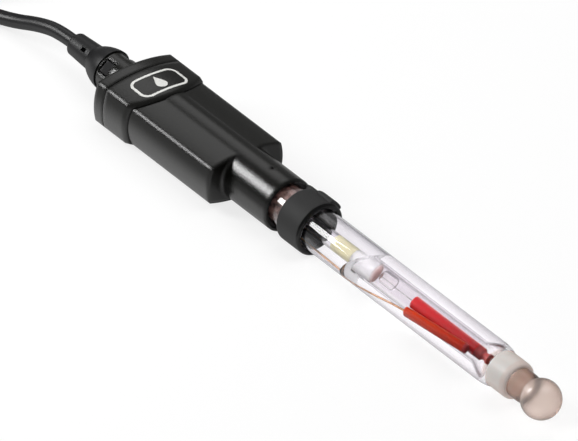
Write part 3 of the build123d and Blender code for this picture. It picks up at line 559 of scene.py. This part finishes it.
# The corners that the shoulder's outer and inner curves bend towards: back from the ring, and off a wall
SHOULDER_BEND, LIP_BEND = (1.2, 0.1), (2.0, 0.2)
INNER_R, INNER_BORE_R = 2.2, 1.7
INNER_REAR_X = station("inner_tube", 0)
FLARE_REAR_X, FLARE_FRONT_X = RING_REAR_X - 8.2, RING_REAR_X - 2.2
BALL_R, BALL_BORE_R = radius("glass_bulb"), radius("glass_bulb") - 0.5
BALL_TIP_X = station("glass_bulb", 1)
BALL_X = BALL_TIP_X - BALL_R
MOUTH_R, MOUTH_BORE_R, MOUTH_BEND = 3.7, 3.2, 1.2
# The fill hole through the shaft's wall, under the sleeve, and how far it is turned from the top
FILL_HOLE_X, FILL_HOLE_R, FILL_HOLE_TURN = 8.6, 1.2, -45.0

# The front end of the electrolyte, back from the ring and off the stem, and the buffer's two ends
LIQUID_FRONT, LIQUID_BEND = (1.0, 0.04), (2.0, 0.15)
BUFFER_IN_GEL, BUFFER_OFF_TIP = 0.5, 0.45
SILVER_R = 0.08
# Each liquid reaches this far into the glass round it, so that light crosses no film of air
OVERLAP = 0.03

# Fineness of the meshes
MERGE_GAP = 1e-7
SHARP_ANGLE = 40
ROUND_STEPS, HOLE_STEPS, WIRE_STEPS = 128, 48, 12
BUBBLE_STEPS = (48, 24)


def bend(start, corner, end, steps=10):
    """A smooth curve from start to end that leaves and arrives towards the corner."""
    points = []
    for i in range(steps + 1):
        t = i / steps
        points.append(tuple((1 - t) ** 2 * a + 2 * t * (1 - t) * b + t * t * c
                            for a, b, c in zip(start, corner, end)))
    return points


def swell(x0, r0, x1, r1, steps=16):
    """A smooth step from one radius to another, as glass takes when it is blown out."""
    return [(x0 + (x1 - x0) * i / steps, r0 + (r1 - r0) * (1 - math.cos(math.pi * i / steps)) / 2)
            for i in range(steps + 1)]


def ball_arc(r, mouth_r, steps=40):
    """The ball's half outline, from its mouth to its tip."""
    start = math.pi - math.asin(mouth_r / r)
    return [(BALL_X + r * math.cos(start * (1 - i / steps)), r * math.sin(start * (1 - i / steps)))
            for i in range(steps + 1)]


def turned_mesh(outline):
    """A bmesh turned about the shaft's axis from (x, radius) points, closed where they end off the axis."""
    bm = bmesh.new()
    corners = [bm.verts.new(at(x, 0.0, r)) for x, r in outline]
    runs = list(zip(corners, corners[1:]))
    if outline[0][1] > 0:
        runs.append((corners[-1], corners[0]))
    for run in runs:
        bm.edges.new(run)
    bmesh.ops.spin(bm, geom=bm.verts[:] + bm.edges[:], cent=at(0.0), axis=(1, 0, 0), angle=2 * math.pi,
                   steps=ROUND_STEPS, use_merge=True)
    bmesh.ops.remove_doubles(bm, verts=bm.verts[:], dist=MERGE_GAP)
    return bm


def add_piece(name, bm, slot, body="electrode", replaced=(), clear=False, closed_inside=False):
    """Makes a bmesh a shaded piece of the object that rides on a body."""
    if not closed_inside:
        bmesh.ops.recalc_face_normals(bm, faces=bm.faces[:])
    mesh = bpy.data.meshes.new(name)
    bm.to_mesh(mesh)
    bm.free()
    mesh.shade_smooth()
    mesh.set_sharp_from_angle(angle=math.radians(SHARP_ANGLE))
    piece = bpy.data.objects.new(name, mesh)
    bpy.context.scene.collection.objects.link(piece)
    dress(piece, slot)
    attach(piece, body)
    if replaced:
        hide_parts(*replaced)
    piece.visible_shadow = not clear
    return piece


def other_finish(piece, slot, chosen):
    """Gives another material to the faces that a test of x, radius and being under liquid chooses."""
    piece.data.materials.append(MATERIALS[slot])
    for face in piece.data.polygons:
        place = (face.center - at(0.0)) / MM
        wet = place.x > MENISCUS_X + MENISCUS_SLANT * place.dot(UPWARD)
        if chosen(place.x, math.hypot(place.y, place.z), wet):
            face.material_index = len(piece.data.materials) - 1


def inner_line(wall):
    """The measuring glass's outer line (wall 0), or its bore (wall 1), from the rear to the ball's tip."""
    r, stem_r = ((INNER_R, STEM_R), (INNER_BORE_R, STEM_BORE_R))[wall]
    ball_r, mouth_r = ((BALL_R, MOUTH_R), (BALL_BORE_R, MOUTH_BORE_R))[wall]
    ball = ball_arc(ball_r, mouth_r)
    neck = bend((STEM_FRONT_X, stem_r), (STEM_FRONT_X + MOUTH_BEND, stem_r), ball[0], 8)
    return [(INNER_REAR_X, r)] + swell(FLARE_REAR_X, r, FLARE_FRONT_X, stem_r) + neck + ball[1:]


def bore_fill_hole(shaft):
    """Bores the fill hole through the shaft's wall."""
    drill = bmesh.new()
    turned = Matrix.Rotation(math.radians(FILL_HOLE_TURN), 4, "X") @ Matrix.Translation((0, 0, SHAFT_R * MM))
    bmesh.ops.create_cone(drill, cap_ends=True, segments=HOLE_STEPS, radius1=FILL_HOLE_R * MM,
                          radius2=FILL_HOLE_R * MM, depth=(SHAFT_R - INNER_R) * MM,
                          matrix=Matrix.Translation(at(FILL_HOLE_X)) @ turned)
    mesh = bpy.data.meshes.new("fill_hole_drill")
    drill.to_mesh(mesh)
    drill.free()
    mesh.shade_smooth()
    cutter = bpy.data.objects.new("fill_hole_drill", mesh)
    bpy.context.scene.collection.objects.link(cutter)
    cut = shaft.modifiers.new("fill_hole", "BOOLEAN")
    cut.operation, cut.solver, cut.object = "DIFFERENCE", "EXACT", cutter
    bored = bpy.data.meshes.new_from_object(shaft.evaluated_get(bpy.context.evaluated_depsgraph_get()))
    shaft.modifiers.clear()
    shaft.data = bored
    bpy.data.objects.remove(cutter)
    bored.set_sharp_from_angle(angle=math.radians(SHARP_ANGLE))


def make_shaft():
    """The 12 mm shaft: straight, drawn in at the shoulder, with a short lip round the stem."""
    lip_x, lip_r = RING_REAR_X - LIP_LONG, STEM_R + LIP_GAP
    outline = ([(SHAFT_REAR_X, SHAFT_R), (SHOULDER_X, SHAFT_R)]
               + bend((SHOULDER_X, SHAFT_R), (RING_REAR_X - SHOULDER_BEND[0], SHAFT_R - SHOULDER_BEND[1]),
                      (RING_REAR_X, RING_R))
               + [(RING_REAR_X, lip_r), (lip_x, lip_r)]
               + bend((lip_x, lip_r), (RING_REAR_X - LIP_BEND[0], STEM_R + LIP_BEND[1]),
                      (SHOULDER_X, SHAFT_BORE_R))
               + [(SHAFT_REAR_X, SHAFT_BORE_R)])
    shaft = add_piece("shaft_glass", turned_mesh(outline), "clear_glass", replaced=["outer_tube"],
                      clear=True)
    bore_fill_hole(shaft)
    other_finish(shaft, "wetted_glass", lambda x, r, wet: wet and r < WETTED_R and x < RING_REAR_X)


def make_measuring_glass():
    """The measuring tube, the stem that it flares into and the hollow ball, blown in one piece."""
    glass = add_piece("measuring_glass", turned_mesh(inner_line(0) + inner_line(1)[::-1]), "bulb_glass",
                      replaced=["inner_tube", "glass_bulb"], clear=True)
    other_finish(glass, "wetted_glass", lambda x, r, wet: wet and x < RING_REAR_X
                 or r < MOUTH_BORE_R and RING_REAR_X < x < STEM_FRONT_X)
    other_finish(glass, "clear_glass", lambda x, r, wet: not wet)


def make_junction_ring():
    """The frosted ring between shaft and stem, with a rounded nose."""
    nose = RING_FRONT_X - RING_NOSE
    ring = ([(RING_REAR_X, STEM_R + RING_GAP), (RING_REAR_X, RING_R), (nose, RING_R)]
            + bend((nose, RING_R), (RING_FRONT_X, RING_R), (RING_FRONT_X, RING_R - RING_NOSE_DROP))
            + [(RING_FRONT_X, STEM_R + RING_GAP)])
    add_piece("junction_sinter", turned_mesh(ring), "frosted_junction", replaced=["junction_ring"])


def make_electrolyte():
    """The solution round the measuring tube, cut off behind by its slanted surface."""
    outer_r, inner_r, stem_r = SHAFT_BORE_R + OVERLAP, INNER_R - OVERLAP, STEM_R - OVERLAP
    front_x = RING_REAR_X - LIQUID_FRONT[0]
    outer = [(LIQUID_REAR_X, outer_r)] + bend(
        (SHOULDER_X, outer_r), (RING_REAR_X - LIQUID_BEND[0], STEM_R + LIQUID_BEND[1]),
        (front_x, STEM_R + LIQUID_FRONT[1]))
    inner = swell(FLARE_REAR_X, inner_r, FLARE_FRONT_X, stem_r) + [(front_x, stem_r)]
    bm = turned_mesh(outer + inner[::-1] + [(LIQUID_REAR_X, inner_r)])
    slope = Vector((1.0, 0.0, 0.0)) - MENISCUS_SLANT * UPWARD
    bmesh.ops.bisect_plane(bm, geom=bm.verts[:] + bm.edges[:] + bm.faces[:], plane_co=at(MENISCUS_X),
                           plane_no=slope, clear_inner=True)
    bmesh.ops.triangle_fill(bm, edges=[edge for edge in bm.edges if edge.is_boundary], use_beauty=True)
    add_piece("electrolyte", bm, "electrolyte", clear=True)


def make_gel_and_plug():
    """The white gel in the measuring tube, domed in front, and the pale plug behind it."""
    wet_r = INNER_BORE_R + OVERLAP
    dome = bend((GEL_FRONT_X, wet_r), (GEL_FRONT_X + GEL_DOME, wet_r), (GEL_FRONT_X + GEL_DOME, 0.0))
    add_piece("sealing_gel", turned_mesh([(GEL_REAR_X, 0.0), (GEL_REAR_X, wet_r)] + dome), "white_gel")
    rear, front = station("inner_plug", 0), station("inner_plug", 1)
    add_piece("silicone_plug", turned_mesh([(rear, 0.0), (rear, wet_r), (front, wet_r), (front, 0.0)]),
              "pale_silicone", replaced=["inner_plug"])


def add_bubble(bm):
    """Adds the gas bubble to the buffer's mesh: a hollow with round ends, against the tube's upper side."""
    columns, rows = BUBBLE_STEPS
    bubble = bmesh.ops.create_uvsphere(bm, u_segments=columns, v_segments=rows, radius=1.0)["verts"]
    half = (BUBBLE_X1 - BUBBLE_X0) / 2 - BUBBLE_R
    for vert in bubble:
        end = 1 if vert.co.x > 0 else -1
        x = (BUBBLE_X0 + BUBBLE_X1) / 2 + end * half + BUBBLE_R * vert.co.x
        side = BUBBLE_R * MM * Vector((0.0, vert.co.y, vert.co.z)) + BUBBLE_RISE * MM * UPWARD
        vert.co = at(x) + side
    wall = list({face for vert in bubble for face in vert.link_faces})
    bmesh.ops.reverse_faces(bm, faces=wall)
    for face in wall:
        face.material_index = 1


def make_buffer():
    """The buffer that fills the measuring glass from the gel to the ball, with its gas bubble."""
    rear = GEL_FRONT_X - BUFFER_IN_GEL
    bore = [(x, r + OVERLAP) for x, r in inner_line(1)[1:-1]]
    bm = turned_mesh([(rear, 0.0), (rear, INNER_BORE_R + OVERLAP)] + bore
                     + [(BALL_TIP_X - BUFFER_OFF_TIP, 0.0)])
    bmesh.ops.recalc_face_normals(bm, faces=bm.faces[:])
    add_bubble(bm)
    buffer = add_piece("buffer", bm, "buffer", clear=True, closed_inside=True)
    buffer.data.materials.append(MATERIALS["bubble_wall"])


def make_silver_thread():
    """The silver lead down the middle of the measuring tube."""
    thread = bmesh.new()
    rear, front = station("measuring_lead", 0), station("measuring_lead", 1)
    bmesh.ops.create_cone(thread, cap_ends=True, segments=WIRE_STEPS, radius1=SILVER_R * MM,
                          radius2=SILVER_R * MM, depth=(front - rear) * MM,
                          matrix=Matrix.Translation(at((rear + front) / 2))
                          @ Matrix.Rotation(math.pi / 2, 4, "Y"))
    add_piece("silver_thread", thread, "silver_wire", replaced=["measuring_lead"])


# Badge: a plain drop in a rounded outline, printed on the crown of the rear shell
BADGE_X, BADGE_LONG, BADGE_WIDE, BADGE_ROUND, BADGE_LINE = -55.1, 8.4, 15.0, 2.6, 0.75
DROP_R, DROP_TALL = 1.6, 3.6
INK_THICK = 0.03
CROWN_STRIPS = 12
CROWN_Z, CROWN_EDGE_Z, CROWN_EDGE_Y = 7.75, 6.0, 12.0


def crown_height(y):
    """The height of the head's crowned top above the shaft's axis."""
    rise = CROWN_Z - CROWN_EDGE_Z
    bow_r = (CROWN_EDGE_Y ** 2 + rise ** 2) / (2 * rise)
    return CROWN_Z - bow_r + math.sqrt(bow_r ** 2 - y ** 2)


def rounded_outline(long, wide, r, steps=10):
    """The outline of a rectangle with round corners."""
    points = []
    for quarter, (sx, sy) in enumerate([(1, 1), (-1, 1), (-1, -1), (1, -1)]):
        for i in range(steps + 1):
            turn = math.pi / 2 * (quarter + i / steps)
            points.append((sx * (long / 2 - r) + r * math.cos(turn),
                           sy * (wide / 2 - r) + r * math.sin(turn)))
    return points


def drop_outline(r, tall, steps=28):
    """A drop's outline: a round body and a pointed end towards the cable."""
    tangent = math.acos(r / tall)
    turns = [tangent + (2 * math.pi - 2 * tangent) * i / steps for i in range(steps + 1)]
    return [(-tall, 0.0)] + [(-r * math.cos(turn), r * math.sin(turn)) for turn in turns]


def make_badge():
    """The badge's ink, laid on the crown."""
    curve = bpy.data.curves.new("badge_outline", "CURVE")
    curve.dimensions = "2D"
    curve.fill_mode = "BOTH"
    curve.extrude = INK_THICK / 2 * MM
    inset = 2 * BADGE_LINE
    for outline in (rounded_outline(BADGE_LONG, BADGE_WIDE, BADGE_ROUND),
                    rounded_outline(BADGE_LONG - inset, BADGE_WIDE - inset, BADGE_ROUND - BADGE_LINE),
                    [(x + (DROP_TALL - DROP_R) / 2, y) for x, y in drop_outline(DROP_R, DROP_TALL)]):
        spline = curve.splines.new("POLY")
        spline.points.add(len(outline) - 1)
        for point, (x, y) in zip(spline.points, outline):
            point.co = (x * MM, y * MM, 0.0, 1.0)
        spline.use_cyclic_u = True
    flat = bpy.data.objects.new("badge_outline", curve)
    bpy.context.scene.collection.objects.link(flat)
    finished = flat.evaluated_get(bpy.context.evaluated_depsgraph_get())
    bm = bmesh.new()
    bm.from_mesh(bpy.data.meshes.new_from_object(finished))
    bpy.data.objects.remove(flat)
    bmesh.ops.remove_doubles(bm, verts=bm.verts[:], dist=MERGE_GAP)
    for i in range(1, CROWN_STRIPS):
        y = BADGE_WIDE * (i / CROWN_STRIPS - 0.5) * MM
        bmesh.ops.bisect_plane(bm, geom=bm.verts[:] + bm.edges[:] + bm.faces[:], plane_co=(0.0, y, 0.0),
                               plane_no=(0.0, 1.0, 0.0))
    for vert in bm.verts:
        x, y, z = (value / MM for value in vert.co)
        vert.co = at(BADGE_X + x, y, crown_height(y) + z)
    add_piece("badge_print", bm, "print_ink")


# Lamps, world and bench

# The surround's level for plain light and for gloss, and what a gloss inside the glass leaves of white
WORLD_LIGHT, GLOSS_LIGHT = 0.32, 0.18
AFTER_GLOSS = 0.45
# The bench's own level where it is seen, and its glow where it lights the object, a painted bounce light. In
# gloss it glows bright along a strip beside the electrode, at STRIP_Y and STRIP_HALF wide to each side, and
# dim away from it: a painted reflection that lightens the head's side walls.
BENCH_SEEN, BENCH_BOUNCE = 0.78, 0.6
STRIP_Y, STRIP_HALF = -0.017, 0.016
BENCH_GLOSS_NEAR, BENCH_GLOSS_FAR = 0.95, 0.2
BENCH_HALF = 3.0
# Each lamp's direction from the head, its distance, its size along and across the shaft, its power, and
# whether gloss shows it. The left one is short and near, so that its reflection lies along the head and
# neck but ends before the cells. The ceiling lamp only lights, evenly and from above.
LAMPS = [
    ("ceiling_lamp", (0.2, 0.25, 0.95), 1.4, (1.0, 1.0), 6.0, False),
    ("overhead_lamp", (-0.63, 0.36, 0.69), 1.4, (0.7, 0.7), 1.2, True),
    ("left_lamp", (-0.63, -0.55, 0.55), 0.5, (0.1, 0.2), 1.2, True),
]
LAMP_TARGET = Vector((-0.03, 0.0, 0.008))


def seen_directly(tree):
    """1 for rays that show the surroundings: from the camera and through glass. Less after a gloss, so
    that the many faces of glass and liquid don't lay a white veil over the cells."""
    path = add_node(tree, "ShaderNodeLightPath").outputs
    first = add_node(tree, "ShaderNodeMath", {0: path["Is Camera Ray"], 1: path["Is Transmission Ray"]},
                     operation="MAXIMUM")
    level = add_node(tree, "ShaderNodeMapRange", {"Value": path["Glossy Depth"], "To Min": 1.0,
                                                  "To Max": AFTER_GLOSS})
    both = add_node(tree, "ShaderNodeMath", {0: first.outputs[0], 1: level.outputs["Result"]},
                    operation="MULTIPLY")
    return both.outputs[0]


def make_world():
    """An even white surround that lights the object softly."""
    world = bpy.data.worlds.new("white_room")
    world.use_nodes = True
    tree = world.node_tree
    gloss = add_node(tree, "ShaderNodeLightPath").outputs["Is Glossy Ray"]
    dimmed = add_node(tree, "ShaderNodeMath", {0: gloss, 1: GLOSS_LIGHT - WORLD_LIGHT, 2: WORLD_LIGHT},
                      operation="MULTIPLY_ADD")
    strength = add_node(tree, "ShaderNodeMath", {0: seen_directly(tree), 1: dimmed.outputs[0]},
                        operation="MAXIMUM")
    background = tree.nodes["Background"]
    background.inputs["Color"].default_value = colour("#ffffff")
    tree.links.new(strength.outputs[0], background.inputs["Strength"])
    bpy.context.scene.world = world


def make_bench():
    """A white bench top under the electrode; it keeps a soft shadow. It also glows for diffuse rays, a
    painted bounce light on the object, and in gloss along a strip beside the electrode, a painted
    reflection.
    """
    bm = bmesh.new()
    bmesh.ops.create_grid(bm, x_segments=1, y_segments=1, size=BENCH_HALF)
    mesh = bpy.data.meshes.new("bench")
    bm.to_mesh(mesh)
    bm.free()
    bench = bpy.data.objects.new("bench", mesh)
    bpy.context.scene.collection.objects.link(bench)
    made, tree, shader = finish("white_laminate", Base_Color=colour("#8c8c8c"), Roughness=0.9,
                                Specular_IOR_Level=0.0, Emission_Color=colour("#ffffff"))
    seen = add_node(tree, "ShaderNodeMath", {0: seen_directly(tree), 1: BENCH_SEEN}, operation="MULTIPLY")
    path = add_node(tree, "ShaderNodeLightPath").outputs
    # Painted bounce light: the bench glows for diffuse rays and so lights the object from below.
    spread = add_node(tree, "ShaderNodeMath", {0: path["Is Diffuse Ray"], 1: BENCH_BOUNCE,
                                               2: seen.outputs[0]}, operation="MULTIPLY_ADD")
    # Painted reflection: in gloss the bench glows brightest along the strip at STRIP_Y.
    place = add_node(tree, "ShaderNodeTexCoord").outputs["Object"]
    y = add_node(tree, "ShaderNodeSeparateXYZ", {"Vector": place}).outputs["Y"]
    off = add_node(tree, "ShaderNodeMath", {0: y, 1: -STRIP_Y}, operation="ADD")
    away = add_node(tree, "ShaderNodeMath", {0: off.outputs[0]}, operation="ABSOLUTE")
    near = add_node(tree, "ShaderNodeMapRange", {"Value": away.outputs[0], "From Max": STRIP_HALF,
                                                 "To Min": BENCH_GLOSS_NEAR, "To Max": BENCH_GLOSS_FAR})
    glow = add_node(tree, "ShaderNodeMath", {0: path["Is Glossy Ray"], 1: near.outputs["Result"],
                                             2: spread.outputs[0]}, operation="MULTIPLY_ADD")
    tree.links.new(glow.outputs[0], shader.inputs["Emission Strength"])
    mesh.materials.append(made)


def make_lamps():
    """Soft lamps that face the electrode."""
    for lamp_name, direction, away, (long, wide), power, in_gloss in LAMPS:
        lamp = bpy.data.objects.new(lamp_name, bpy.data.lights.new(lamp_name, "AREA"))
        lamp.data.shape = "RECTANGLE"
        lamp.data.size, lamp.data.size_y = long, wide
        lamp.data.energy = power
        lamp.visible_glossy = in_gloss
        toward = Vector(direction).normalized()
        across = Vector((1.0, 0.0, 0.0)).cross(toward).normalized()
        turn = Matrix((across.cross(toward), across, toward)).transposed()
        lamp.matrix_world = Matrix.Translation(LAMP_TARGET + toward * away) @ turn.to_4x4()
        bpy.context.scene.collection.objects.link(lamp)


# The finish of each CAD node that stays
NODE_SLOTS = {
    "front_shell": "head_plastic", "rear_shell": "head_plastic", "end_cap": "head_plastic",
    "strain_relief": "boot_rubber", "fill_sleeve": "sleeve_rubber",
    "measuring_cell": "red_cell", "measuring_cell_tip": "dark_red_cap",
    "reference_cell": "orange_cell", "reference_cell_tip": "dark_red_cap",
    "reference_lead": "copper_wire",
    "shaft_bung": "brown_resin", "inner_bung": "pale_silicone",
    "neck_seal": "seal_rubber", "circuit_board": "board", "board_chips": "chip",
    "cable_cores": "core_insulation", "plug_body": "plug_plastic", "plug_insert": "plug_plastic",
    "plug_pins": "pin_metal", "plug_nut": "nut_metal", "cable_tie": "tie_strap",
}

make_camera()
dress(make_cable(), "cable_jacket")
make_shaft()
make_measuring_glass()
make_junction_ring()
make_electrolyte()
make_gel_and_plug()
make_buffer()
make_silver_thread()
make_badge()
for name, slot in NODE_SLOTS.items():
    dress(nodes[name], slot)
make_world()
make_bench()
make_lamps()

bpy.context.view_layer.update()
